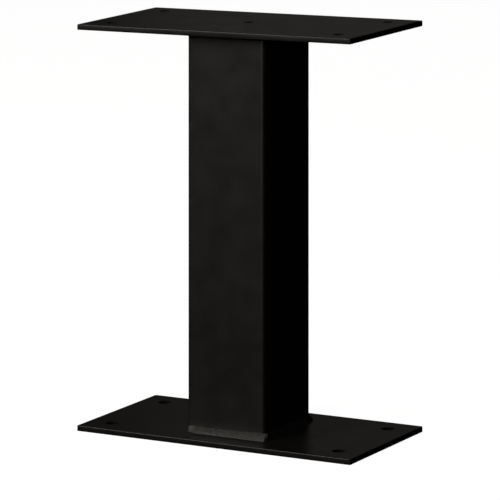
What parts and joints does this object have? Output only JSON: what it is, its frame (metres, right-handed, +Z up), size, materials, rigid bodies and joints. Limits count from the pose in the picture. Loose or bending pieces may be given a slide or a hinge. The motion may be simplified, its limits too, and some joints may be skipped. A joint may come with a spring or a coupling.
{
  "type": "display plinth",
  "caption": "Bolt-down display plinth: a square steel post welded between flat rectangular plates drilled for bolts, powder coated black.",
  "frame": {"origin": "centre of the base plate's underside, on the floor", "axes": "+Z up along the post, X along the plates' long sides, front faces -Y"},
  "size_m": [0.3588, 0.165, 0.4636],
  "materials": {
    "coated_plate": "semi-gloss black powder coat on hot-rolled steel plate",
    "coated_tube": "semi-gloss black powder coat on square steel tube",
    "coated_weld": "semi-gloss black powder coat over as-laid fillet weld"
  },
  "bodies": {
    "root": {"base_plate": "coated_plate", "top_plate": "coated_plate", "post_tube": "coated_tube", "base_weld_front": "coated_weld", "base_weld_right": "coated_weld", "base_weld_back": "coated_weld", "base_weld_left": "coated_weld", "top_weld_front": "coated_weld", "top_weld_right": "coated_weld", "top_weld_back": "coated_weld", "top_weld_left": "coated_weld"}
  },
  "joints": []
}
